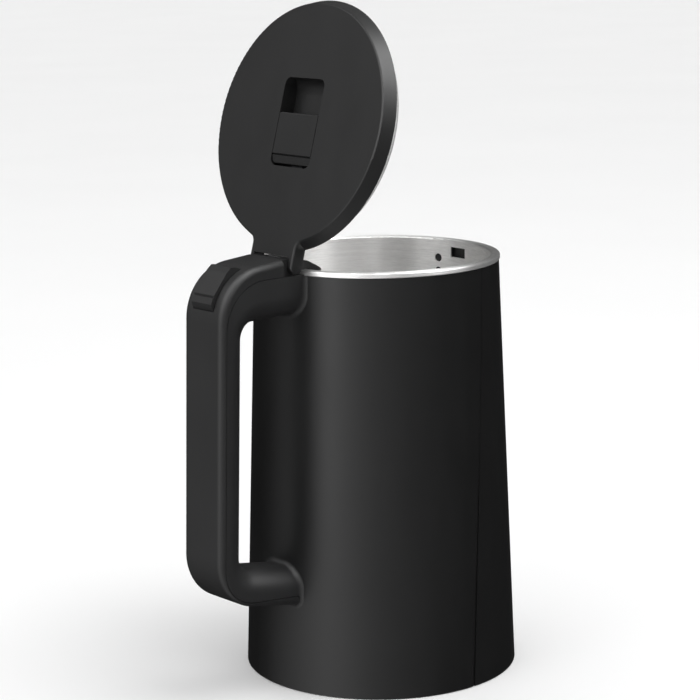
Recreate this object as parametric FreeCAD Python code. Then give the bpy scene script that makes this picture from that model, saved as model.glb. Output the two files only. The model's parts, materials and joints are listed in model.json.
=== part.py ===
import FreeCAD, Part
import math
import os

from FreeCAD import Vector

# An electric jug kettle with a double wall. Millimetres, +Z up, origin at the centre of the bottom.
# +X is the pouring side, the handle is at -X, and the lid's hinge axis runs along Y.

# Casing: a cone that narrows upwards, split into a rear and a front half
CASE_R_BASE = 74.06
CASE_TAPER = 0.03783
CASE_TOP = 222.0
CASE_WALL = 2.4
SEAM_LEAN = 0.0752
SEAM_GAP = 0.25
SEAM_BEVEL = 1.8
SEAM_BEVEL_DEPTH = 0.6
HANDLE_SCREW_Z = (208.0, 214.0)

# Inner pot
POT_R = 61.0
POT_WALL = 0.8
POT_FLOOR = 30.0
POT_CORNER_R = 6.0
RIM_Z = 225.0
RIM_OUT_R = 66.2
SLOT_WIDTH = 11.0
SLOT_Z = (215.2, 220.8)
HOLE_R = 2.3
HOLE_ANGLE = 13.5
HOLE_Z = (206.6, 214.1)
KEEPER_T = 1.3
KEEPER_Z = (201.5, 220.9)
GASKET_H = 0.9

# Lid, drawn closed and then swung open about the hinge axis
HINGE_X = -71.0
HINGE_Z = 229.9
LID_OPEN_DEG = 74.0
LID_TOP = 232.3
LID_UNDER = 225.3
LID_R = 65.9
LID_TOP_R = 62.9
LID_SKIN = 2.0
LID_EDGE_R = 0.9
NECK_HALF = 17.3
EAR_INNER = 14.0
EAR_END_X = -76.8
EAR_R = 3.2
NECK_CORNER_R = 4.5
NECK_EDGE_R = 1.4
SKIN_END_X = HINGE_X + 2.3
PLUG_R = 60.0
PLUG_WALL = 0.8
PLUG_BOTTOM = 217.3
PLUG_FLAT_X = -44.0
LID_SCREW_R = 50.0
LID_SCREW_ANGLES = (40, 130, 230, 320)

# Lid recess with the lift tab and the finger well
RECESS_X = (-22.9, 23.6)
RECESS_HALF = 15.5
RECESS_CORNER_R = 4.0
RECESS_FLOOR = 223.3
TAB_X = (-21.5, 5.2)
TAB_HALF = 15.1
TAB_THICK = 2.4
TAB_GROOVE_X = -17.0
TAB_PIN_X = -17.6
TAB_PIN_Z = 229.0
TAB_PIN_R = 1.0
TAB_HEEL_Z = 227.2
BOLT_HALF = 5.0
BOLT_Z = (218.5, 220.3)
BOLT_TIP_X = 62.7
TAIL_HALF = 4.0
TAIL_X = (-24.5, -17.0)
TAIL_TOP = 226.8

# Handle
HANDLE_HALF = 15.7
HANDLE_BACK_X = -121.0
HANDLE_BACK_Z = 137.0
HANDLE_SIDE_R = 3.5
GRIP_SIDE_R = 11.5
ROOT_FLARE_R = 2.5
HANDLE_WALL = 2.4
GRIP_TOP = 223.0
COVER_END_X = -77.45
PIN_R = 1.0
PIN_END = 16.3
BLOCK_HALF = 13.7
BLOCK_TOP = 230.0
BLOCK_REAR_TOP = 231.6
NOSE_FRONT_X = -45.5
POCKET_HALF = 5.0
POCKET_R = 2.6

# Switch rocker on the handle's top corner
ROCKER_HALF = 8.1
ROCKER_PIVOT = (-106.1, 216.6)
ROCKER_R = 14.0
ROCKER_LOW_R = 13.4
ROCKER_GAP = 0.35
ROCKER_PIN_R = 1.25
LUG_Y = (10.2, 13.1)
LUG_R = 3.0
WIRE_HOLE_Z = 58.0
WIRE_R = 1.1

# Base
SOCKET_R = 17.0
SOCKET_OUT_R = 20.5
SOCKET_MOUTH_Z = 3.0
SOCKET_STEP_Z = 11.0
RUN_GAP = 0.05
INSIDE_X = -60.0
BASE_SCREW_R = 64.0
BASE_SCREW_ANGLES = (60, 180, 300)
THREAD_R = 1.2


def cylinder(r, z0, z1, x=0.0, y=0.0):
    return Part.makeCylinder(r, z1 - z0, Vector(x, y, z0))


def ring(r_in, r_out, z0, z1, x=0.0, y=0.0):
    return cylinder(r_out, z0, z1, x, y).cut(cylinder(r_in, z0 - 1, z1 + 1, x, y))


def rod_y(r, x, z, y0, y1):
    return Part.makeCylinder(r, y1 - y0, Vector(x, y0, z), Vector(0, 1, 0))


def box(x0, x1, y0, y1, z0, z1):
    return Part.makeBox(x1 - x0, y1 - y0, z1 - z0, Vector(x0, y0, z0))


def outline(corners, place):
    """A closed wire through (a, b, radius) corners with tangent arcs. place maps (a, b) to a point."""
    edges = []
    ends = []
    count = len(corners)
    for i in range(count):
        a, b, r = corners[i]
        here = Vector(a, b, 0)
        before = Vector(corners[i - 1][0], corners[i - 1][1], 0)
        after = Vector(corners[(i + 1) % count][0], corners[(i + 1) % count][1], 0)
        if r == 0:
            ends.append((here, None, here))
            continue
        back = (before - here).normalize()
        ahead = (after - here).normalize()
        half = back.getAngle(ahead) / 2
        reach = r / math.tan(half)
        middle = (back + ahead).normalize()
        centre = here + middle * (r / math.sin(half))
        ends.append((here + back * reach, centre - middle * r, here + ahead * reach))
    for i in range(count):
        start, mid, end = ends[i]
        if mid is not None:
            arc = Part.Arc(place(start), place(mid), place(end))
            edges.append(arc.toShape())
        following = ends[(i + 1) % count][0]
        if (following - end).Length > 1e-6:
            edges.append(Part.makeLine(place(end), place(following)))
    return Part.Wire(edges)


def plate_y(corners, y0, y1):
    """A solid with an outline in X and Z, between two values of Y."""
    wire = outline(corners, lambda p: Vector(p.x, y0, p.y))
    return Part.Face(wire).extrude(Vector(0, y1 - y0, 0))


def plate_z(corners, z0, z1):
    """A solid with an outline in X and Y, between two values of Z."""
    wire = outline(corners, lambda p: Vector(p.x, p.y, z0))
    return Part.Face(wire).extrude(Vector(0, 0, z1 - z0))


def turned(corners):
    """A solid of revolution about Z from (radius, z, corner radius) corners."""
    wire = outline(corners, lambda p: Vector(p.x, 0, p.y))
    return Part.Face(wire).revolve(Vector(0, 0, 0), Vector(0, 0, 1), 360)


def coil_y(r, wire_r, pitch, turns, x, z, y0):
    """A coil spring about an axis along Y."""
    helix = Part.makeHelix(pitch, pitch * turns, r)
    start = Vector(r, 0, 0)
    circle = Part.Wire(Part.makeCircle(wire_r, start, Vector(0, 1, 0)))
    spring = Part.Wire(helix).makePipeShell([circle], True, True)
    spring.rotate(Vector(0, 0, 0), Vector(1, 0, 0), -90)
    spring.translate(Vector(x, y0, z))
    return spring


def group(shapes):
    return Part.makeCompound(shapes)


def one_solid(shape):
    """The shape as a single clean solid."""
    clean = shape.removeSplitter()
    return max(clean.Solids, key=lambda s: s.Volume)


def polar(r, angle):
    return r * math.cos(math.radians(angle)), r * math.sin(math.radians(angle))


def case_r(z):
    return CASE_R_BASE - CASE_TAPER * z


def back_x(z):
    """The handle's back leans with the casing."""
    return HANDLE_BACK_X + CASE_TAPER * (z - HANDLE_BACK_Z)


def opened(shape):
    shape.rotate(Vector(HINGE_X, 0, HINGE_Z), Vector(0, 1, 0), -LID_OPEN_DEG)
    return shape


# ---- casing and pot ----


def case_cone(inset, z0, z1):
    return Part.makeCone(case_r(z0) - inset, case_r(z1) - inset, z1 - z0, Vector(0, 0, z0))


def front_side(offset):
    """Everything in front of the leaning seam plane, moved forward by offset."""
    far = 200.0
    low = -20.0
    high = 300.0
    corners = [
        (SEAM_LEAN * low + offset, low, 0),
        (far, low, 0),
        (far, high, 0),
        (SEAM_LEAN * high + offset, high, 0),
    ]
    return plate_y(corners, -far, far)


def case_shell():
    return case_cone(0, 0, CASE_TOP).cut(case_cone(CASE_WALL, -1, CASE_TOP + 1))


def seam_bevel():
    """The material outside a plane that slopes the rear half's edge down to the seam, on both sides."""
    slope = math.degrees(math.atan(SEAM_BEVEL_DEPTH / SEAM_BEVEL))
    lean = math.degrees(math.atan(SEAM_LEAN))
    taper = math.degrees(math.atan(CASE_TAPER))
    wedge = Part.makeBox(60, 30, 400, Vector(0, 0, -50))
    wedge.rotate(Vector(0, 0, 0), Vector(0, 0, 1), -slope)
    wedge.translate(Vector(-SEAM_BEVEL, CASE_R_BASE, 0))
    wedge.rotate(Vector(0, CASE_R_BASE, 0), Vector(1, 0, 0), taper)
    wedge.rotate(Vector(0, CASE_R_BASE, 0), Vector(0, 1, 0), lean)
    return [wedge, wedge.mirror(Vector(0, 0, 0), Vector(0, 1, 0))]


def screw_bosses(angles):
    """Bosses on the casing's inside that take the base cover's screws."""
    posts = []
    for angle in angles:
        x, y = polar(BASE_SCREW_R, angle)
        post = cylinder(3.6, 4.7, 20, x, y)
        web = box(0, 9, -1.2, 1.2, 4.7, 20)
        web.rotate(Vector(0, 0, 0), Vector(0, 0, 1), angle)
        web.translate(Vector(x, y, 0))
        post = post.fuse(web).common(case_cone(CASE_WALL - 0.5, 0, 30))
        posts.append(post.cut(cylinder(THREAD_R, 0, 14, x, y)))
    return posts


def shell_rear():
    shell = case_shell().cut(front_side(0))
    for post in screw_bosses([BASE_SCREW_ANGLES[1]]):
        shell = shell.fuse(post)
    for wedge in seam_bevel():
        shell = shell.cut(wedge)
    wires = Part.makeCylinder(4.5, 20, Vector(-78, 0, WIRE_HOLE_Z), Vector(1, 0, 0))
    shell = shell.cut(wires)
    for z in HANDLE_SCREW_Z:
        shell = shell.cut(Part.makeCylinder(1.8, 20, Vector(-78, 0, z), Vector(1, 0, 0)))
    return one_solid(shell)


def shell_front():
    shell = case_shell().common(front_side(SEAM_GAP))
    for post in screw_bosses([BASE_SCREW_ANGLES[0], BASE_SCREW_ANGLES[2]]):
        shell = shell.fuse(post.common(front_side(SEAM_GAP)))
    return one_solid(shell)


def pot():
    out = POT_R + POT_WALL
    body = turned(
        [
            (0, POT_FLOOR - POT_WALL, 0),
            (out, POT_FLOOR - POT_WALL, POT_CORNER_R + POT_WALL),
            (out, CASE_TOP + 0.2, 0),
            (RIM_OUT_R, CASE_TOP + 0.2, 0.5),
            (RIM_OUT_R, RIM_Z, 0.9),
            (POT_R, RIM_Z, 0.9),
            (POT_R, POT_FLOOR, POT_CORNER_R),
            (0, POT_FLOOR, 0),
        ]
    )
    body = body.cut(box(50, 70, -SLOT_WIDTH / 2, SLOT_WIDTH / 2, SLOT_Z[0], SLOT_Z[1]))
    for z in HOLE_Z:
        drill = Part.makeCylinder(HOLE_R, 30, Vector(45, 0, z), Vector(1, 0, 0))
        drill.rotate(Vector(0, 0, 0), Vector(0, 0, 1), HOLE_ANGLE)
        body = body.cut(drill)
    return one_solid(body)


def latch_keeper():
    """A curved strip behind the pot's front that backs its holes and takes the bolt in its notch."""
    out = POT_R + POT_WALL
    strip = ring(out, out + KEEPER_T, KEEPER_Z[0], KEEPER_Z[1])
    sector = plate_z([(0, 0, 0), (80, -26, 0), (80, 26, 0)], KEEPER_Z[0], KEEPER_Z[1])
    notch = box(50, 70, -SLOT_WIDTH / 2 - 0.3, SLOT_WIDTH / 2 + 0.3, SLOT_Z[0] - 0.2, KEEPER_Z[1] + 1)
    return one_solid(strip.common(sector).cut(notch))


def rim_gasket():
    out = case_r(CASE_TOP) - CASE_WALL - 0.05
    return ring(POT_R + POT_WALL, out, CASE_TOP - GASKET_H, CASE_TOP)


# ---- lid ----


def lid_blank():
    """A shallow cone with a neck that runs back to the hinge. The neck is flared where it meets the cone."""
    disc = Part.makeCone(LID_R, LID_TOP_R, LID_TOP - LID_UNDER, Vector(0, 0, LID_UNDER))
    rim = [e for e in disc.Edges if e.BoundBox.ZMin > LID_TOP - 0.01]
    disc = disc.makeFillet(LID_EDGE_R, rim)
    plan = [
        (EAR_END_X, -NECK_HALF, 0),
        (-61.8, -NECK_HALF, NECK_CORNER_R),
        (-52.0, -33.0, 0),
        (-52.0, 33.0, 0),
        (-61.8, NECK_HALF, NECK_CORNER_R),
        (EAR_END_X, NECK_HALF, 0),
    ]
    neck = plate_z(plan, LID_UNDER, LID_TOP)
    long_edges = [e for e in neck.Edges if e.BoundBox.XLength > 2 and e.BoundBox.ZMin > LID_TOP - 0.01]
    neck = neck.makeFillet(NECK_EDGE_R, long_edges)
    side = [
        (EAR_END_X, LID_UNDER, EAR_R),
        (EAR_END_X, LID_TOP, EAR_R),
        (-40, LID_TOP, 0),
        (-40, LID_UNDER, 0),
    ]
    neck = neck.common(plate_y(side, -40, 40))
    return disc.fuse(neck)


def recess_walls(spread, z0, z1):
    x0 = RECESS_X[0] - spread
    x1 = RECESS_X[1] + spread
    half = RECESS_HALF + spread
    r = RECESS_CORNER_R + spread
    return plate_z([(x0, -half, r), (x1, -half, r), (x1, half, r), (x0, half, r)], z0, z1)


def recess_space():
    """The hollow under the tab and the well in front of it, with a scooped front."""
    scoop = plate_y(
        [
            (RECESS_X[0] - 1, LID_TOP + 1, 0),
            (RECESS_X[0] - 1, RECESS_FLOOR, 0),
            (RECESS_X[1], RECESS_FLOOR, 7.0),
            (RECESS_X[1], LID_TOP + 1, 0),
        ],
        -20,
        20,
    )
    return scoop.common(recess_walls(0, RECESS_FLOOR - 1, LID_TOP + 1))


def lid_cap():
    inner_z = LID_TOP - LID_SKIN
    hollow = cylinder(PLUG_R - 1.2, LID_UNDER - 1, inner_z)
    hollow = hollow.fuse(box(EAR_END_X - 1, -40, -EAR_INNER, EAR_INNER, LID_UNDER - 1, inner_z))
    between_ears = box(EAR_END_X - 2, SKIN_END_X, -EAR_INNER, EAR_INNER, LID_UNDER - 2, LID_TOP + 1)
    cap = lid_blank().cut(hollow).cut(between_ears)
    tray = recess_walls(1.4, RECESS_FLOOR - 1.4, LID_TOP - 0.5)
    for angle in LID_SCREW_ANGLES:
        x, y = polar(LID_SCREW_R, angle)
        tray = tray.fuse(cylinder(3.0, LID_UNDER, inner_z + 0.5, x, y))
    cap = cap.fuse(tray).cut(recess_space())
    tail_half = TAIL_HALF + 0.4
    tail_way = box(TAIL_X[0] - 3.0, TAIL_X[1] + 0.4, -tail_half, tail_half, RECESS_FLOOR - 2, TAIL_TOP + 1.2)
    cap = cap.cut(tail_way)
    for angle in LID_SCREW_ANGLES:
        x, y = polar(LID_SCREW_R, angle)
        cap = cap.cut(cylinder(THREAD_R, LID_UNDER - 1, 229.8, x, y))
    pin_end = PIN_END + 0.2
    cap = cap.cut(rod_y(PIN_R + RUN_GAP, HINGE_X, HINGE_Z, -pin_end, pin_end))
    cap = cap.cut(rod_y(TAB_PIN_R, TAB_PIN_X, TAB_PIN_Z, -16.6, 16.6))
    return one_solid(cap)


def plug_outline(r, flat_x, z0, z1):
    """A disc with one flat side that clears the hinge block's nose."""
    y = math.sqrt(r * r - flat_x * flat_x)
    blank = cylinder(r, z0, z1).common(box(flat_x, r + 1, -r - 1, r + 1, z0, z1))
    corners = [e for e in blank.Edges if e.BoundBox.ZLength > 1 and abs(abs(e.CenterOfMass.y) - y) < 0.01]
    corners = [e for e in corners if e.CenterOfMass.x < 0]
    return blank.makeFillet(5.0 - (PLUG_R - r), corners)


def lid_plug():
    cup = plug_outline(PLUG_R, PLUG_FLAT_X, PLUG_BOTTOM, LID_UNDER)
    low = [e for e in cup.Edges if e.BoundBox.ZMax < PLUG_BOTTOM + 0.01]
    cup = cup.makeFillet(1.8, low)
    inside = plug_outline(
        PLUG_R - PLUG_WALL, PLUG_FLAT_X + PLUG_WALL, PLUG_BOTTOM + PLUG_WALL, LID_UNDER + 1
    )
    cup = cup.cut(inside)
    slot = box(50, 62, -BOLT_HALF - 0.4, BOLT_HALF + 0.4, BOLT_Z[0] - 0.2, BOLT_Z[1] + 0.4)
    return one_solid(cup.cut(slot))


def lid_frame():
    """The plastic carrier inside the plug, which the screws draw up to the cap."""
    z0 = 221.6
    z1 = LID_UNDER - 0.7
    frame = plug_outline(PLUG_R - PLUG_WALL - 0.1, PLUG_FLAT_X + PLUG_WALL + 0.1, z0, z1)
    frame = frame.cut(cylinder(42, z0 - 1, z1 + 1))
    rails = box(26, 50, -8.5, -BOLT_HALF - 0.4, 218.3, z0)
    rails = rails.fuse(box(26, 50, BOLT_HALF + 0.4, 8.5, 218.3, z0))
    bridge = box(26, 50, -8.5, 8.5, z0 - 0.8, z0 + 0.1)
    frame = frame.fuse(rails).fuse(bridge)
    stop = box(-43, -36.5, -9, 9, 218.3, z1)
    frame = frame.fuse(stop)
    for angle in LID_SCREW_ANGLES:
        x, y = polar(LID_SCREW_R, angle)
        frame = frame.cut(cylinder(1.6, z0 - 1, z1 + 1, x, y))
        frame = frame.cut(cylinder(3.0, z0 - 1, z0 + 1.2, x, y))
    return one_solid(frame)


def lid_gasket():
    flat = ring(43, PLUG_R - PLUG_WALL - 0.2, LID_UNDER - 0.6, LID_UNDER - 0.05)
    flat = flat.cut(box(-70, PLUG_FLAT_X + 1.2, -70, 70, 220, 230))
    for angle in LID_SCREW_ANGLES:
        x, y = polar(LID_SCREW_R, angle)
        flat = flat.cut(cylinder(3.2, 220, 230, x, y))
    return one_solid(flat)


def pan_screw(x, y, z_head, z_tip, shank_r, head_r, head_h):
    """A self-tapping screw with its head below."""
    screw = cylinder(shank_r, z_head, z_tip - 1.0, x, y)
    screw = screw.fuse(Part.makeCone(shank_r, 0.3, 1.0, Vector(x, y, z_tip - 1.0)))
    screw = screw.fuse(cylinder(head_r, z_head - head_h, z_head, x, y))
    cross = box(-head_r * 0.6, head_r * 0.6, -0.3, 0.3, z_head - head_h - 0.1, z_head - head_h * 0.4)
    cross = cross.fuse(
        box(-0.3, 0.3, -head_r * 0.6, head_r * 0.6, z_head - head_h - 0.1, z_head - head_h * 0.4)
    )
    cross.translate(Vector(x, y, 0))
    return one_solid(screw.cut(cross))


def lid_screws():
    screws = []
    for angle in LID_SCREW_ANGLES:
        x, y = polar(LID_SCREW_R, angle)
        screws.append(pan_screw(x, y, 222.8, 229.4, THREAD_R, 2.6, 1.3))
    return group(screws)


def lift_tab():
    """The tab over the recess. A groove crosses it near the pin, and its heel pushes the bolt's tail."""
    groove = 0.5
    low = LID_TOP - TAB_THICK
    side = plate_y(
        [
            (TAB_X[0], LID_TOP - 1.3, 0.5),
            (TAB_GROOVE_X - groove, LID_TOP - 0.35, 0),
            (TAB_GROOVE_X, LID_TOP - 0.95, 0),
            (TAB_GROOVE_X + groove, LID_TOP, 0.3),
            (TAB_X[1], LID_TOP, 0.8),
            (TAB_X[1], low, 1.0),
            (-12.0, low, 2.0),
            (-14.0, TAB_HEEL_Z, 1.2),
            (TAB_X[0], TAB_HEEL_Z, 1.2),
        ],
        -TAB_HALF,
        TAB_HALF,
    )
    plan = [
        (TAB_X[0], -TAB_HALF, 2.2),
        (TAB_X[1], -TAB_HALF, 1.5),
        (TAB_X[1], TAB_HALF, 1.5),
        (TAB_X[0], TAB_HALF, 2.2),
    ]
    tab = side.common(plate_z(plan, 220, 240))
    return one_solid(tab.cut(rod_y(TAB_PIN_R + RUN_GAP, TAB_PIN_X, TAB_PIN_Z, -20, 20)))


def tab_pin():
    return rod_y(TAB_PIN_R, TAB_PIN_X, TAB_PIN_Z, -16.5, 16.5)


def latch_bolt():
    """A flat bolt with a bevelled nose, and a tail with a ramp that follows the tab's heel."""
    bar = plate_y(
        [
            (TAIL_X[0], BOLT_Z[0], 0),
            (BOLT_TIP_X - 1.6, BOLT_Z[0], 0),
            (BOLT_TIP_X, BOLT_Z[1] - 0.5, 0),
            (BOLT_TIP_X, BOLT_Z[1], 0),
            (TAIL_X[0], BOLT_Z[1], 0),
        ],
        -BOLT_HALF,
        BOLT_HALF,
    )
    tail = plate_y(
        [
            (TAIL_X[0], BOLT_Z[0], 0),
            (TAIL_X[1], BOLT_Z[0], 0),
            (TAIL_X[1], TAIL_TOP - 2.1, 0),
            (TAIL_X[1] - 4.9, TAIL_TOP, 0.5),
            (TAIL_X[0], TAIL_TOP, 0.5),
        ],
        -TAIL_HALF,
        TAIL_HALF,
    )
    return one_solid(bar.fuse(tail))


def latch_spring():
    spring = coil_y(1.5, 0.25, 1.15, 7.5, 0, 0, 0)
    spring.rotate(Vector(0, 0, 0), Vector(0, 0, 1), 90)
    spring.translate(Vector(-27.2, 0, 220.3))
    return spring


def hinge_pin():
    return rod_y(PIN_R, HINGE_X, HINGE_Z, -PIN_END, PIN_END)


def lid_spring():
    """A torsion spring round the hinge pin, in the block's pocket."""
    return coil_y(1.5, 0.25, 0.75, 11.0, HINGE_X, HINGE_Z, -4.2)


# ---- hinge block and handle ----


def hinge_block():
    """The block between the handle's cover and the rim. Its nose overhangs the rim."""
    rear = COVER_END_X + 0.2
    side = plate_y(
        [
            (rear, GRIP_TOP, 0),
            (rear, BLOCK_REAR_TOP, 0.8),
            (HINGE_X + 1.1, BLOCK_REAR_TOP, 1.5),
            (HINGE_X + 1.3, BLOCK_TOP, 0),
            (-61.0, BLOCK_TOP, 8.0),
            (-46.5, 222.6, 0.8),
            (NOSE_FRONT_X, 221.6, 0),
            (-60.4, 221.6, 0),
            (-60.4, RIM_Z + 0.2, 0),
            (-67.2, RIM_Z + 0.2, 0),
            (-67.2, GRIP_TOP, 0),
        ],
        -BLOCK_HALF,
        BLOCK_HALF,
    )
    plan = [
        (rear, -BLOCK_HALF, 0),
        (NOSE_FRONT_X, -BLOCK_HALF, 10.0),
        (NOSE_FRONT_X, BLOCK_HALF, 10.0),
        (rear, BLOCK_HALF, 0),
    ]
    block = side.common(plate_z(plan, 215, 240))
    rim = cylinder(RIM_OUT_R + 0.2, 215, RIM_Z + 0.2).cut(cylinder(POT_R - 0.4, 215, 240))
    block = block.cut(rim)
    block = block.cut(rod_y(PIN_R, HINGE_X, HINGE_Z, -20, 20))
    block = block.cut(rod_y(POCKET_R, HINGE_X, HINGE_Z, -POCKET_HALF, POCKET_HALF))
    pocket = box(HINGE_X - POCKET_R, HINGE_X + POCKET_R, -POCKET_HALF, POCKET_HALF, HINGE_Z, 240)
    return one_solid(block.cut(pocket))


def handle_corners(inset):
    """The handle seen from the side: corners of its outer line, top to bottom, then of the finger gap."""
    top = 231.9 - inset
    slope_top = 0.083
    foot = 46.3 + inset
    slope_foot = 0.19
    r_top = 28.0 - inset
    r_foot = 27.5 - inset
    back_high = back_x(225) + inset
    back_low = back_x(58) + inset
    gap_front = 17.7 - inset
    return [
        (INSIDE_X, top + slope_top * 17, 0),
        (back_high, top + slope_top * (back_high + 77), r_top),
        (back_low, foot - slope_foot * (back_low + 68), r_foot),
        (INSIDE_X, foot - slope_foot * (INSIDE_X + 68), 0),
        (INSIDE_X, 64.8 - inset, 0),
        (back_x(71) + gap_front, 72.6 - inset, 8.0 + inset),
        (back_x(200) + gap_front, 200.7 + inset, 8.0 + inset),
        (INSIDE_X, 201.2 + inset, 0),
    ]


def in_gap(point):
    return -108 < point.x < INSIDE_X - 1 and 60 < point.z < 206


def handle_edges(shape, of_gap, half):
    """The edges between the flat sides, half from the middle, and the outer line or the finger gap's line."""
    found = []
    for edge in shape.Edges:
        centre = edge.CenterOfMass
        on_side = edge.BoundBox.YLength < 0.01 and abs(abs(centre.y) - half) < 0.01
        at_cut = edge.BoundBox.XMin > INSIDE_X - 0.1
        if on_side and not at_cut and in_gap(centre) == of_gap:
            found.append(edge)
    return found


def handle_blank():
    blank = plate_y(handle_corners(0), -HANDLE_HALF, HANDLE_HALF)
    blank = blank.makeFillet(HANDLE_SIDE_R, handle_edges(blank, False, HANDLE_HALF))
    blank = blank.makeFillet(GRIP_SIDE_R, handle_edges(blank, True, HANDLE_HALF))
    return blank


def handle_hollow():
    half = HANDLE_HALF - HANDLE_WALL
    hollow = plate_y(handle_corners(HANDLE_WALL), -half, half)
    return hollow.makeFillet(GRIP_SIDE_R - HANDLE_WALL, handle_edges(hollow, True, half))


def handle_rooted():
    """The handle with flared roots, cut to sit on the casing and clear of the rim."""
    cone = case_cone(0, 20, 240)
    whole = handle_blank().fuse(cone)
    roots = []
    for edge in whole.Edges:
        centre = edge.CenterOfMass
        bounds = edge.BoundBox
        near = abs(math.hypot(centre.x, centre.y) - case_r(centre.z)) < 2.5
        on_handle = bounds.XMax < -50 and abs(centre.y) < HANDLE_HALF + 1.3
        if near and on_handle and bounds.ZLength < 60 and bounds.ZMax < CASE_TOP:
            roots.append(edge)
    whole = whole.makeFillet(ROOT_FLARE_R, roots)
    return whole.cut(cone).cut(cylinder(RIM_OUT_R + 0.1, CASE_TOP, 240))


def seam_side(spread):
    """The region on the grip's side of the seam between grip and cover, pushed outwards by spread."""
    low = 49.4 - spread
    front = -71.4 - spread
    corners = [
        (INSIDE_X, GRIP_TOP + spread, 0),
        (back_x(223) + 3.4 - spread, GRIP_TOP + spread, 25.0 + spread),
        (back_x(60) + 3.4 - spread, low + 7.9, 20.0 + spread),
        (front, low + 3.3, 1.0 + spread),
        (front, 30, 0),
        (INSIDE_X, 30, 0),
    ]
    return plate_y(corners, -30, 30)


def rocker_sweep(spread):
    """The space between the rocker's two end arcs about its pivot: a larger arc above, a smaller below."""
    px, pz = ROCKER_PIVOT
    half = ROCKER_HALF + spread
    above = rod_y(ROCKER_R + spread, px, pz, -half, half).common(box(-140, -80, -20, 20, pz, 240))
    below = rod_y(ROCKER_LOW_R + spread, px, pz, -half, half).common(box(-140, -80, -20, 20, 190, pz))
    return above.fuse(below)


def rocker_lugs():
    """Two lugs inside the grip that hold the rocker's pin."""
    px, pz = ROCKER_PIVOT
    corners = [
        (px - LUG_R, 204.0, 0),
        (px + LUG_R, 204.0, 0),
        (px + LUG_R, pz + LUG_R, LUG_R - 0.1),
        (px - LUG_R, pz + LUG_R, LUG_R - 0.1),
    ]
    half = HANDLE_HALF - HANDLE_WALL + 0.3
    lugs = []
    for sign in (1, -1):
        near = sign * LUG_Y[0]
        lug = plate_y(corners, min(near, sign * LUG_Y[1]), max(near, sign * LUG_Y[1]))
        foot = box(px - LUG_R, px + LUG_R, min(near, sign * half), max(near, sign * half), 204.0, 210.5)
        lugs.append(lug.fuse(foot))
    return lugs


def handle_parts():
    rooted = handle_rooted()
    hollow = handle_hollow().cut(case_cone(-4.0, 20, 240))
    hollow = hollow.fuse(Part.makeCylinder(4.2, 40, Vector(-100, 0, WIRE_HOLE_Z), Vector(1, 0, 0)))
    cover = rooted.cut(seam_side(SEAM_GAP)).cut(hollow)
    cover = cover.cut(box(COVER_END_X, -40, -30, 30, 215, 245))
    cover = cover.cut(rocker_sweep(ROCKER_GAP))
    grip = rooted.common(seam_side(0)).cut(hollow)
    for z in HANDLE_SCREW_Z:
        start = Vector(-case_r(z) - 3.4, 0, z)
        grip = grip.cut(Part.makeCylinder(THREAD_R, 3.6, start, Vector(1, 0, 0)))
    for lug in rocker_lugs():
        grip = grip.fuse(lug)
    grip = grip.cut(rod_y(ROCKER_PIN_R, ROCKER_PIVOT[0], ROCKER_PIVOT[1], -12.4, 12.4))
    return one_solid(cover), one_solid(grip)


def switch_rocker():
    """The raised plate on the handle's corner, with a groove and a sloped band at its lower end."""
    px, pz = ROCKER_PIVOT
    plate = plate_y(
        [
            (-99.5, 229.5, 0),
            (-105.2, 231.0, 2.0),
            (-108.6, 228.2, 3.0),
            (-117.1, 217.6, 0.3),
            (-116.9, 216.6, 0),
            (-117.8, 216.2, 0.3),
            (-119.5, 212.4, 0),
            (-119.0, 207.0, 0),
            (-115.4, 207.0, 0),
            (-112.6, 214.6, 4.0),
            (-105.0, 224.0, 3.0),
            (-97.0, 226.0, 0),
        ],
        -ROCKER_HALF,
        ROCKER_HALF,
    )
    plate = plate.common(rocker_sweep(0))
    arm = plate_y(
        [
            (px - 2.6, pz - 2.6, 2.6),
            (px + 2.6, pz - 2.6, 2.6),
            (px + 2.6, pz + 7.6, 0),
            (px - 7.0, pz + 4.6, 0),
        ],
        -3.0,
        3.0,
    )
    rocker = one_solid(plate.fuse(arm))
    return one_solid(rocker.cut(rod_y(ROCKER_PIN_R + RUN_GAP, px, pz, -20, 20)))


def switch_pin():
    return rod_y(ROCKER_PIN_R, ROCKER_PIVOT[0], ROCKER_PIVOT[1], -12.3, 12.3)


def steam_switch():
    """The bistable steam switch in the handle's upper arm, with its round bimetal housing."""
    body = box(-95.0, -80.0, -9.0, 9.0, 206.0, 219.0)
    disc = Part.makeCylinder(7.5, 3.0, Vector(-80.0, 0, 212.5), Vector(1, 0, 0))
    lever = box(-98.5, -95.0, -2.0, 2.0, 209.0, 211.5)
    return one_solid(body.fuse(disc).fuse(lever))


def wire_path(y):
    """A wire from the steam switch down the handle and through the casing to the thermostat."""
    corners = [
        (-95.0, 207.2),
        (-112.5, 202.5),
        (-115.6, 84.0),
        (-100.0, 60.5),
        (-80.0, WIRE_HOLE_Z),
        (-66.5, WIRE_HOLE_Z),
        (-63.5, 22.8),
        (-52.0, 17.0),
        (-24.0, 16.5),
    ]
    radii = [0, 8.0, 14.0, 14.0, 20.0, 3.4, 5.0, 8.0, 0]
    return [Vector(x, y, z) for x, z in corners], radii


def smooth_path(points, radii):
    edges = []
    at = points[0]
    for i in range(1, len(points) - 1):
        here = points[i]
        back = (points[i - 1] - here).normalize()
        ahead = (points[i + 1] - here).normalize()
        half = back.getAngle(ahead) / 2
        r = radii[i]
        reach = r / math.tan(half)
        start = here + back * reach
        end = here + ahead * reach
        middle = (back + ahead).normalize()
        mid = here + middle * (r / math.sin(half) - r)
        edges.append(Part.makeLine(at, start))
        edges.append(Part.Arc(start, mid, end).toShape())
        at = end
    edges.append(Part.makeLine(at, points[-1]))
    return Part.Wire(edges)


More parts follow.
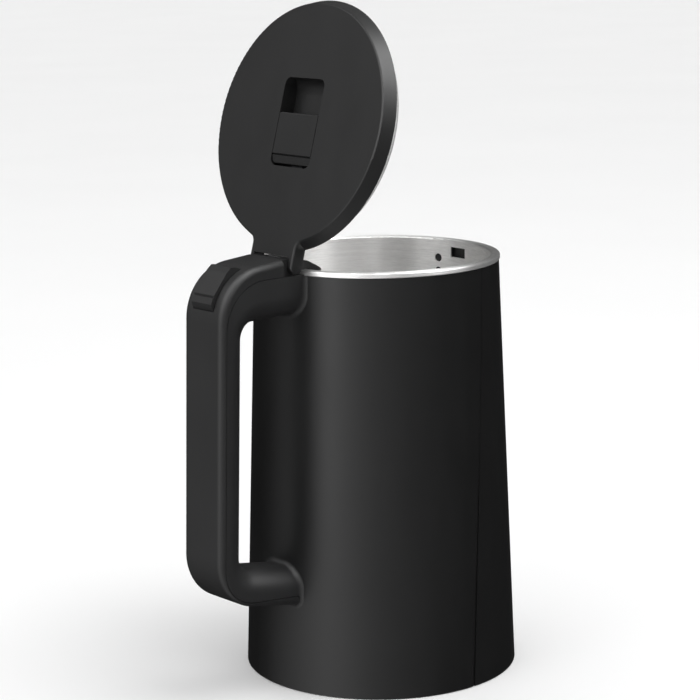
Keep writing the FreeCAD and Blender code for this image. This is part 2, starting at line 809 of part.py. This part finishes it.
def switch_wires():
    wires = []
    for y in (-1.9, 1.9):
        points, radii = wire_path(y)
        path = smooth_path(points, radii)
        direction = (points[1] - points[0]).normalize()
        circle = Part.Wire(Part.makeCircle(WIRE_R, points[0], direction))
        wires.append(path.makePipeShell([circle], True, True))
    return group(wires)


def handle_screws():
    screws = []
    for z in HANDLE_SCREW_Z:
        x = -case_r(z) + CASE_WALL + 0.15
        screw = Part.makeCylinder(THREAD_R, 5.2, Vector(x, 0, z), Vector(-1, 0, 0))
        head = Part.makeCylinder(2.4, 0.9, Vector(x + 0.9, 0, z), Vector(-1, 0, 0))
        screws.append(screw.fuse(head))
    return group(screws)


# ---- heater and base ----


def heater_plate():
    return cylinder(55.0, 26.0, POT_FLOOR - POT_WALL - 0.02)


def heating_element():
    """A sheathed element: three quarters of a ring under the plate, with two ends turned down."""
    r = 42.0
    tube_r = 3.3
    z = 26.0 - tube_r
    sweep = 290
    torus = Part.makeTorus(r, tube_r, Vector(0, 0, z), Vector(0, 0, 1), -180, 180, sweep)
    torus.rotate(Vector(0, 0, 0), Vector(0, 0, 1), (360 - sweep) / 2)
    element = torus
    for sign in (1, -1):
        x, y = polar(r, sign * (360 - sweep) / 2)
        element = element.fuse(cylinder(1.6, 13.0, z, x, y))
        element = element.fuse(Part.makeSphere(tube_r, Vector(x, y, z)))
    return one_solid(element)


def thermostat():
    body = cylinder(19.0, 14.2, 22.5)
    body = body.fuse(box(-24, 24, -9, 9, 14.2, 20.5))
    return one_solid(body.fuse(box(-9, 9, -24, 24, 14.2, 20.5)))


def bimetal_discs():
    discs = []
    for sign in (1, -1):
        dome = cylinder(7.0, 22.5, 23.1, sign * 9.5, 0)
        discs.append(dome.fuse(cylinder(3.0, 23.1, 25.95, sign * 9.5, 0)))
    return group(discs)


def connector_socket():
    """The round socket that a power base's spigot enters, with a stepped well for the contacts."""
    body = cylinder(SOCKET_OUT_R, SOCKET_MOUTH_Z, 14.2)
    body = body.fuse(ring(SOCKET_OUT_R - 1, 24.5, 5.6, 7.2))
    body = body.cut(cylinder(SOCKET_R, SOCKET_MOUTH_Z - 1, SOCKET_STEP_Z))
    body = body.fuse(cylinder(11.0, 11.0, 22.0).common(cylinder(30, 11.0, 14.2)))
    body = body.cut(cylinder(7.6, 10.0, 13.4))
    body = body.cut(ring(12.0, 14.0, 10.5, 11.9))
    body = body.cut(cylinder(2.0, 13.0, 15.0))
    return one_solid(body)


def contact_pin():
    pin = cylinder(2.0, 11.6, 14.2)
    return pin.fuse(Part.makeCone(1.2, 2.0, 0.5, Vector(0, 0, 11.1)))


def contact_rings():
    return group([ring(12.0, 14.0, 11.2, 11.9), ring(6.4, 7.6, 11.5, 13.4)])


def base_cover():
    """The cover that closes the bottom: a foot ring, a shallow raised middle and a hole for the socket."""
    out = case_r(1.5) - CASE_WALL - 0.15
    cover = turned(
        [
            (24.8, 3.0, 0),
            (56.0, 3.0, 2.0),
            (58.0, 0.0, 0.8),
            (out, 0.0, 0.8),
            (out, 4.6, 0),
            (out - 2.0, 4.6, 0),
            (out - 2.0, 2.6, 0),
            (59.5, 2.6, 0),
            (57.5, 5.5, 2.0),
            (24.8, 5.5, 0),
        ]
    )
    cover = cover.fuse(ring(SOCKET_OUT_R + 0.1, 26.0, 3.0, 5.5))
    for angle in BASE_SCREW_ANGLES:
        x, y = polar(BASE_SCREW_R, angle)
        cover = cover.fuse(cylinder(4.6, 0.4, 4.6, x, y))
        cover = cover.cut(cylinder(3.4, -1, 2.4, x, y))
        cover = cover.cut(cylinder(1.7, -1, 6, x, y))
    for angle in range(20, 380, 40):
        vent = box(40, 48, -1.0, 1.0, 1, 8)
        vent.rotate(Vector(0, 0, 0), Vector(0, 0, 1), angle)
        cover = cover.cut(vent)
    return one_solid(cover)


def base_screws():
    screws = []
    for angle in BASE_SCREW_ANGLES:
        x, y = polar(BASE_SCREW_R, angle)
        screws.append(pan_screw(x, y, 2.4, 13.0, THREAD_R, 2.9, 1.7))
    return group(screws)


def element_cradle():
    """The ring that holds the thermostat and stands on the base cover."""
    legs = ring(28.0, 30.0, 5.5, 13.0)
    for angle in range(0, 360, 60):
        gap = box(25, 33, -8, 8, 8.0, 14)
        gap.rotate(Vector(0, 0, 0), Vector(0, 0, 1), angle + 30)
        legs = legs.cut(gap)
    top = ring(SOCKET_OUT_R + 0.2, 30.0, 11.4, 13.0)
    return one_solid(legs.fuse(top))


def save(name, shape):
    state = "" if shape.isValid() else "  NOT VALID"
    print(f"{name}: {len(shape.Solids)} solids, {shape.Volume / 1000:.2f} cm3{state}")
    shape.exportStep(f"parts/{name}.step")


def main():
    os.makedirs("parts", exist_ok=True)
    cover, grip = handle_parts()
    fixed = {
        "casing_rear": shell_rear(),
        "casing_front": shell_front(),
        "inner_pot": pot(),
        "latch_keeper": latch_keeper(),
        "rim_gasket": rim_gasket(),
        "hinge_block": hinge_block(),
        "hinge_pin": hinge_pin(),
        "lid_spring": lid_spring(),
        "handle_cover": cover,
        "handle_grip": grip,
        "handle_screws": handle_screws(),
        "switch_pin": switch_pin(),
        "steam_switch": steam_switch(),
        "switch_wires": switch_wires(),
        "switch_rocker": switch_rocker(),
        "heater_plate": heater_plate(),
        "heating_element": heating_element(),
        "thermostat": thermostat(),
        "bimetal_discs": bimetal_discs(),
        "connector_socket": connector_socket(),
        "contact_pin": contact_pin(),
        "contact_rings": contact_rings(),
        "element_cradle": element_cradle(),
        "base_cover": base_cover(),
        "base_screws": base_screws(),
    }
    on_lid = {
        "lid_cap": lid_cap(),
        "lid_plug": lid_plug(),
        "lid_frame": lid_frame(),
        "lid_gasket": lid_gasket(),
        "lid_screws": lid_screws(),
        "lift_tab": lift_tab(),
        "tab_pin": tab_pin(),
        "latch_bolt": latch_bolt(),
        "latch_spring": latch_spring(),
    }
    for name, shape in fixed.items():
        save(name, shape)
    for name, shape in on_lid.items():
        save(name, opened(shape))


main()
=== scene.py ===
import json
import math

import bpy
from mathutils import Matrix, Vector

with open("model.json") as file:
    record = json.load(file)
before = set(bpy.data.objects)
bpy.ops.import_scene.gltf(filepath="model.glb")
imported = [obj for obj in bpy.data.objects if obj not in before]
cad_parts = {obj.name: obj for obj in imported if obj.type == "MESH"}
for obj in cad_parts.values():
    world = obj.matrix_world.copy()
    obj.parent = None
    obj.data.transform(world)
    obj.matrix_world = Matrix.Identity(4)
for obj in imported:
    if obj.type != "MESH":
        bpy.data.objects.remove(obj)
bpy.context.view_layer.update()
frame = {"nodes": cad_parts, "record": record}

# The camera, fitted to the photograph: its place in metres and its own directions, in the frame's axes.
EYE = Vector((-0.79596, -0.88398, 0.41307))
RIGHT = Vector((0.749487, -0.661867, -0.014184))
UP = Vector((0.141858, 0.139635, 0.979989))
FORWARD = Vector((0.646642, 0.736501, -0.198546))
LENS_MM = 115.30
SENSOR_MM = 36.0
CLIP_NEAR = 0.02
CLIP_FAR = 60.0

# The floor is a disc, in metres. It lies just below the jug, so that the two surfaces don't coincide.
FLOOR_RADIUS = 14.0
FLOOR_SIDES = 96
FLOOR_HEIGHT = -0.0004

# The point that the softboxes face, inside the pot.
LAMP_TARGET = Vector((0.0, 0.0, 0.16))

# The white room, and the brightness of the screens that glossy surfaces see low and high round the object.
ROOM_COLOUR = (0.98, 0.98, 0.98, 1.0)
ROOM_LEVEL = 0.95
LOW_LEVEL = 1.15
HIGH_LEVEL = 7.0

# Upward part of a direction where the low screens begin to give way to the high ones, and where they end.
LOW_SCREENS_FADE = 0.30
LOW_SCREENS_END = 0.62

# Those screens right round the object: azimuth in degrees, and share of the full brightness there.
LOW_SCREENS = ((-180, 1.00), (-160, 0.90), (-145, 0.55), (-130, 0.36), (-100, 0.22), (-75, 0.07), (-60, 0.02),
               (118, 0.0), (126, 0.22), (138, 0.34), (152, 0.55), (166, 0.85), (180, 1.00))
HIGH_SCREENS = ((-180, 0.36), (-164, 0.40), (-160, 1.00), (-152, 1.00), (-149, 0.12), (-133, 0.20),
                (-131, 1.00), (-124, 1.00), (-121, 0.08), (-78, 0.16), (-74, 1.00), (-36, 1.00), (-24, 0.04),
                (118, 0.04), (145, 0.50), (180, 0.36))

# Scales of the finishes' slow patterns, for lengths in metres.
SLOW_SCALE = 22.0
SMEAR_SCALES = (60.0, 60.0, 14.0)
CLOUD_SCALE = 30.0
TINT_SCALE = 35.0
PAPER_SCALE = 3.0

# Scales that follow from another one: a metal's pits from its grain, and coarse brushed lines from fine ones.
PIT_RATIO = 4.0
COARSE_LINE_RATIO = 0.35

# How far a brushed line's pattern moves on for each radian round the axis: little, so that the lines run on.
LINE_DRIFT = 0.0012

# How much bluer than grey the black plastics are.
BLUE_CAST = 1.03


class Nodes:
    """A material's node tree with short calls for the nodes that the finishes are made of."""

    def __init__(self, name):
        self.material = bpy.data.materials.new(name)
        self.material.use_nodes = True
        self.tree = self.material.node_tree
        self.shader = self.tree.nodes["Principled BSDF"]
        coordinates = self.tree.nodes.new("ShaderNodeTexCoord")
        self.place = coordinates.outputs["Object"]

    def link(self, source, target):
        self.tree.links.new(source, target)

    def fixed(self, **values):
        """Set sockets of the shader that are the same all over the surface."""
        for name, value in values.items():
            self.shader.inputs[name.replace("_", " ")].default_value = value

    def noise(self, vector, scale, detail=3.0, roughness=0.5):
        node = self.tree.nodes.new("ShaderNodeTexNoise")
        node.inputs["Scale"].default_value = scale
        node.inputs["Detail"].default_value = detail
        node.inputs["Roughness"].default_value = roughness
        self.link(vector, node.inputs["Vector"])
        return node.outputs["Fac"]

    def voronoi(self, vector, scale):
        node = self.tree.nodes.new("ShaderNodeTexVoronoi")
        node.inputs["Scale"].default_value = scale
        self.link(vector, node.inputs["Vector"])
        return node.outputs["Distance"]

    def stretched(self, vector, factors):
        node = self.tree.nodes.new("ShaderNodeMapping")
        node.inputs["Scale"].default_value = factors
        self.link(vector, node.inputs["Vector"])
        return node.outputs["Vector"]

    def math(self, operation, first, second):
        node = self.tree.nodes.new("ShaderNodeMath")
        node.operation = operation
        for socket, value in zip(node.inputs, (first, second)):
            if isinstance(value, (int, float)):
                socket.default_value = value
            else:
                self.link(value, socket)
        return node.outputs["Value"]

    def span(self, value, low, high, out_low, out_high):
        """The value's range low to high turned into out_low to out_high."""
        node = self.tree.nodes.new("ShaderNodeMapRange")
        ends = {"From Min": low, "From Max": high, "To Min": out_low, "To Max": out_high}
        for name, number in ends.items():
            node.inputs[name].default_value = number
        self.link(value, node.inputs["Value"])
        return node.outputs["Result"]

    def blend(self, factor, first, second):
        """A colour between the two, by a factor that varies over the surface."""
        node = self.tree.nodes.new("ShaderNodeMix")
        node.data_type = "RGBA"
        colours = [socket for socket in node.inputs if socket.type == "RGBA"]
        colours[0].default_value = (*first, 1.0)
        colours[1].default_value = (*second, 1.0)
        self.link(factor, node.inputs["Factor"])
        return next(socket for socket in node.outputs if socket.type == "RGBA")

    def average(self, first, share, second):
        """The two values averaged, with the given share of the first."""
        first_part = self.math("MULTIPLY", first, share)
        second_part = self.math("MULTIPLY", second, 1.0 - share)
        return self.math("ADD", first_part, second_part)

    def colour(self, pattern, low, high, first, second):
        """Base colour from the first to the second, as the pattern goes from low to high."""
        shade = self.blend(self.span(pattern, low, high, 0.0, 1.0), first, second)
        self.link(shade, self.shader.inputs["Base Color"])

    def roughness(self, pattern, low, high, out_low, out_high):
        """Roughness from out_low to out_high, as the pattern goes from low to high."""
        self.link(self.span(pattern, low, high, out_low, out_high), self.shader.inputs["Roughness"])

    def rings(self, vector, scale, drift):
        """Fine lines that run round the upright axis, as a turned or spun surface has."""
        parts = self.tree.nodes.new("ShaderNodeSeparateXYZ")
        self.link(vector, parts.inputs["Vector"])
        x, y, z = parts.outputs
        squares = self.math("ADD", self.math("MULTIPLY", x, x), self.math("MULTIPLY", y, y))
        radius = self.math("SQRT", squares, 0.0)
        angle = self.math("ARCTAN2", y, x)
        joined = self.tree.nodes.new("ShaderNodeCombineXYZ")
        self.link(radius, joined.inputs["X"])
        self.link(self.math("MULTIPLY", angle, LINE_DRIFT * drift), joined.inputs["Y"])
        self.link(z, joined.inputs["Z"])
        return self.noise(joined.outputs["Vector"], scale, detail=4.0, roughness=0.62)

    def bump(self, height, distance):
        node = self.tree.nodes.new("ShaderNodeBump")
        node.inputs["Strength"].default_value = 1.0
        node.inputs["Distance"].default_value = distance
        self.link(height, node.inputs["Height"])
        self.link(node.outputs["Normal"], self.shader.inputs["Normal"])


def plain_black(level):
    return (level, level, level * BLUE_CAST)


def moulded(name, dark, light, roughness, specular, grain=1700.0, depth=0.000012):
    """Spark-eroded moulded plastic: a fine grain, slow gloss changes and faint handling marks."""
    nodes = Nodes(name)
    fine = nodes.noise(nodes.place, grain, detail=2.0, roughness=0.6)
    slow = nodes.noise(nodes.place, SLOW_SCALE)
    smears = nodes.noise(nodes.stretched(nodes.place, SMEAR_SCALES), 1.0, detail=4.0, roughness=0.6)
    nodes.colour(nodes.average(slow, 0.6, fine), 0.35, 0.65, plain_black(dark), plain_black(light))
    nodes.roughness(nodes.average(smears, 0.7, fine), 0.3, 0.7, roughness - 0.035, roughness + 0.045)
    nodes.fixed(Specular_IOR_Level=specular)
    nodes.bump(fine, depth)
    return nodes.material


def tinted(name, first, second, roughness, grain=900.0, depth=0.000015, specular=0.4):
    """Moulded plastic or rubber in any colour."""
    nodes = Nodes(name)
    fine = nodes.noise(nodes.place, grain, detail=2.0, roughness=0.6)
    slow = nodes.noise(nodes.place, TINT_SCALE)
    nodes.colour(nodes.math("ADD", fine, slow), 0.75, 1.25, first, second)
    nodes.roughness(slow, 0.3, 0.7, roughness - 0.05, roughness + 0.06)
    nodes.fixed(Specular_IOR_Level=specular)
    nodes.bump(fine, depth)
    return nodes.material


def brushed(name, dark, light, roughness, metallic, stroke=1500.0, depth=0.000008):
    """Spun stainless steel: coarse and fine lines round the axis, with faint cloudiness."""
    nodes = Nodes(name)
    coarse = nodes.rings(nodes.place, stroke * COARSE_LINE_RATIO, drift=2.0)
    fine = nodes.rings(nodes.place, stroke, drift=6.0)
    cloudy = nodes.noise(nodes.place, CLOUD_SCALE)
    lines = nodes.average(coarse, 0.45, fine)
    tone = nodes.average(lines, 0.75, cloudy)
    nodes.colour(tone, 0.38, 0.62, dark, light)
    nodes.roughness(tone, 0.35, 0.65, roughness + 0.05, roughness - 0.04)
    nodes.fixed(Metallic=metallic, Anisotropic=0.92, Anisotropic_Rotation=0.25)
    tangent = nodes.tree.nodes.new("ShaderNodeTangent")
    tangent.direction_type = "RADIAL"
    tangent.axis = "Z"
    nodes.link(tangent.outputs["Tangent"], nodes.shader.inputs["Tangent"])
    nodes.bump(lines, depth)
    return nodes.material


def bare_metal(name, dark, light, roughness, scale=260.0, depth=0.00001):
    """Drawn, cast or turned metal of a small part, with a slightly uneven surface."""
    nodes = Nodes(name)
    cast = nodes.noise(nodes.place, scale, detail=4.0, roughness=0.6)
    pitted = nodes.voronoi(nodes.place, scale * PIT_RATIO)
    mixed = nodes.average(cast, 0.75, pitted)
    nodes.colour(mixed, 0.35, 0.65, dark, light)
    nodes.roughness(cast, 0.3, 0.7, roughness - 0.05, roughness + 0.07)
    nodes.fixed(Metallic=1.0)
    nodes.bump(mixed, depth)
    return nodes.material


def make_finishes():
    """One material for each of the record's slots."""
    return {
        "case_black": moulded("case_black_satin", 0.0050, 0.0068, 0.40, 0.50),
        "lid_black": moulded("lid_black_satin", 0.0064, 0.0084, 0.44, 0.50),
        "tab_black": moulded("tab_black_satin", 0.0072, 0.0094, 0.42, 0.50),
        "handle_black": moulded("handle_black_matt", 0.0105, 0.0135, 0.50, 0.50,
                                grain=1500.0, depth=0.000015),
        "grip_black": moulded("grip_black_matt", 0.0120, 0.0155, 0.50, 0.50,
                              grain=1400.0, depth=0.000016),
        "block_black": moulded("block_black_matt", 0.0100, 0.0135, 0.46, 0.50),
        "rocker_grey": moulded("rocker_grey_matt", 0.0120, 0.0150, 0.42, 0.50, grain=1300.0),
        "base_black": moulded("base_black_matt", 0.0070, 0.0100, 0.52, 0.45),
        "socket_black": moulded("socket_black_gloss", 0.0065, 0.0090, 0.34, 0.50),
        "inner_plastic": tinted("inner_plastic_dark", (0.010, 0.010, 0.0105), (0.014, 0.014, 0.0145), 0.48),
        "control_plastic": tinted("control_plastic_ivory", (0.42, 0.40, 0.34), (0.50, 0.48, 0.41), 0.42),
        "bolt_plastic": tinted("bolt_plastic_acetal", (0.030, 0.030, 0.032), (0.040, 0.040, 0.043), 0.36),
        "pot_steel": brushed("pot_steel_brushed", (0.74, 0.735, 0.725), (0.94, 0.935, 0.925), 0.38, 0.84),
        "plug_steel": brushed("plug_steel_brushed", (0.66, 0.66, 0.655), (0.82, 0.82, 0.815), 0.34, 0.60),
        "pin_steel": bare_metal("pin_steel_burnished", (0.10, 0.10, 0.105), (0.17, 0.17, 0.175), 0.34),
        "screw_steel": bare_metal("screw_steel_zinc", (0.48, 0.49, 0.50), (0.60, 0.61, 0.62), 0.34),
        "spring_steel": bare_metal("spring_steel_oiled", (0.09, 0.09, 0.095), (0.15, 0.15, 0.155), 0.36),
        "element_steel": bare_metal("element_steel_oxide", (0.20, 0.19, 0.18), (0.34, 0.32, 0.30), 0.46),
        "heater_aluminium": bare_metal("heater_aluminium_cast", (0.55, 0.56, 0.57), (0.68, 0.69, 0.70), 0.48),
        "contact_brass": bare_metal("contact_brass_turned", (0.58, 0.41, 0.16), (0.72, 0.53, 0.24), 0.28),
        "seal_rubber": tinted("seal_rubber_dark", (0.011, 0.011, 0.012), (0.017, 0.017, 0.018), 0.62,
                              grain=700.0, depth=0.00002, specular=0.2),
        "wire_sheath": tinted("wire_sheath_silicone", (0.34, 0.33, 0.31), (0.44, 0.43, 0.40), 0.55,
                              grain=500.0, depth=0.00003, specular=0.3),
    }


def dress_nodes():
    """Give every carried-over node the finish of its slot."""
    finishes = make_finishes()
    for part in frame["record"]["subparts"]:
        thing = frame["nodes"][part["node"]]
        for slot in thing.material_slots:
            slot.material = finishes[part["material_slot"]]


def make_floor():
    """A wide pale studio floor."""
    bpy.ops.mesh.primitive_circle_add(vertices=FLOOR_SIDES, radius=FLOOR_RADIUS, fill_type="NGON",
                                      location=(0.0, 0.0, FLOOR_HEIGHT))
    floor = bpy.context.object
    floor.name = "studio_floor"
    nodes = Nodes("floor_paper")
    soft = nodes.noise(nodes.place, PAPER_SCALE, detail=2.0)
    nodes.link(nodes.blend(soft, (0.91, 0.91, 0.91), (0.94, 0.94, 0.94)), nodes.shader.inputs["Base Color"])
    nodes.fixed(Roughness=0.85, Specular_IOR_Level=0.1)
    floor.data.materials.append(nodes.material)
    floor.visible_glossy = False


def softbox(name, azimuth, elevation, distance, width, height, watts):
    """A rectangular lamp that faces the jug, from an azimuth and elevation in degrees."""
    lamp = bpy.data.lights.new(name, "AREA")
    lamp.shape = "RECTANGLE"
    lamp.size = width
    lamp.size_y = height
    lamp.energy = watts
    holder = bpy.data.objects.new(name, lamp)
    bpy.context.scene.collection.objects.link(holder)
    turn = math.radians(azimuth)
    rise = math.radians(elevation)
    out = Vector((math.cos(turn) * math.cos(rise), math.sin(turn) * math.cos(rise), math.sin(rise)))
    holder.location = LAMP_TARGET + out * distance
    holder.rotation_euler = out.to_track_quat("Z", "Y").to_euler()


def screens(tree, turn, stops):
    """A ring of soft screens round the object, as a ramp over the azimuth."""
    ramp = tree.nodes.new("ShaderNodeValToRGB")
    tree.links.new(turn, ramp.inputs["Fac"])
    elements = ramp.color_ramp.elements
    places = [(azimuth + 180.0) / 360.0 for azimuth, _ in stops]
    for place in places[1:-1]:
        elements.new(place)
    for element, place, (_, level) in zip(elements, places, stops):
        element.position = place
        element.color = (level, level, level, 1.0)
    return ramp.outputs["Color"]


def background(tree, colour, strength):
    """Light of the given strength, in another node's colour."""
    node = tree.nodes.new("ShaderNodeBackground")
    node.inputs["Strength"].default_value = strength
    tree.links.new(colour, node.inputs["Color"])
    return node.outputs["Background"]


def mixed_light(tree, factor, first, second):
    """The first light where the factor is 0, and the second where it is 1."""
    node = tree.nodes.new("ShaderNodeMixShader")
    tree.links.new(factor, node.inputs["Fac"])
    tree.links.new(first, node.inputs[1])
    tree.links.new(second, node.inputs[2])
    return node.outputs["Shader"]


def make_world():
    """A white room. Glossy surfaces see soft screens and dark flags in its place, as round a lit product."""
    world = bpy.data.worlds.new("studio")
    world.use_nodes = True
    tree = world.node_tree
    plain = tree.nodes["Background"]
    plain.inputs["Color"].default_value = ROOM_COLOUR
    plain.inputs["Strength"].default_value = ROOM_LEVEL
    place = tree.nodes.new("ShaderNodeTexCoord")
    parts = tree.nodes.new("ShaderNodeSeparateXYZ")
    tree.links.new(place.outputs["Generated"], parts.inputs["Vector"])
    angle = tree.nodes.new("ShaderNodeMath")
    angle.operation = "ARCTAN2"
    tree.links.new(parts.outputs["Y"], angle.inputs[0])
    tree.links.new(parts.outputs["X"], angle.inputs[1])
    turn = tree.nodes.new("ShaderNodeMapRange")
    turn.inputs["From Min"].default_value = -math.pi
    turn.inputs["From Max"].default_value = math.pi
    tree.links.new(angle.outputs["Value"], turn.inputs["Value"])
    height = tree.nodes.new("ShaderNodeMapRange")
    height.interpolation_type = "SMOOTHSTEP"
    height.inputs["From Min"].default_value = LOW_SCREENS_FADE
    height.inputs["From Max"].default_value = LOW_SCREENS_END
    tree.links.new(parts.outputs["Z"], height.inputs["Value"])
    low = background(tree, screens(tree, turn.outputs["Result"], LOW_SCREENS), LOW_LEVEL)
    high = background(tree, screens(tree, turn.outputs["Result"], HIGH_SCREENS), HIGH_LEVEL)
    studio = mixed_light(tree, height.outputs["Result"], low, high)
    ray = tree.nodes.new("ShaderNodeLightPath")
    room = mixed_light(tree, ray.outputs["Is Glossy Ray"], plain.outputs["Background"], studio)
    tree.links.new(room, tree.nodes["World Output"].inputs["Surface"])
    bpy.context.scene.world = world


def make_light():
    make_world()
    softbox("side_softbox", azimuth=184.0, elevation=10.0, distance=1.8, width=0.6, height=1.4, watts=4.0)
    softbox("top_softbox", azimuth=292.0, elevation=66.0, distance=1.9, width=1.0, height=1.0, watts=11.0)
    bpy.context.scene.view_settings.view_transform = "Standard"


def make_camera():
    data = bpy.data.cameras.new("photo_camera")
    data.lens = LENS_MM
    data.sensor_width = SENSOR_MM
    data.clip_start = CLIP_NEAR
    data.clip_end = CLIP_FAR
    camera = bpy.data.objects.new("photo_camera", data)
    bpy.context.scene.collection.objects.link(camera)
    turn = Matrix((RIGHT, UP, -FORWARD)).transposed().to_4x4()
    camera.matrix_world = Matrix.Translation(EYE) @ turn
    bpy.context.scene.camera = camera


dress_nodes()
make_floor()
make_light()
make_camera()

bpy.context.view_layer.update()
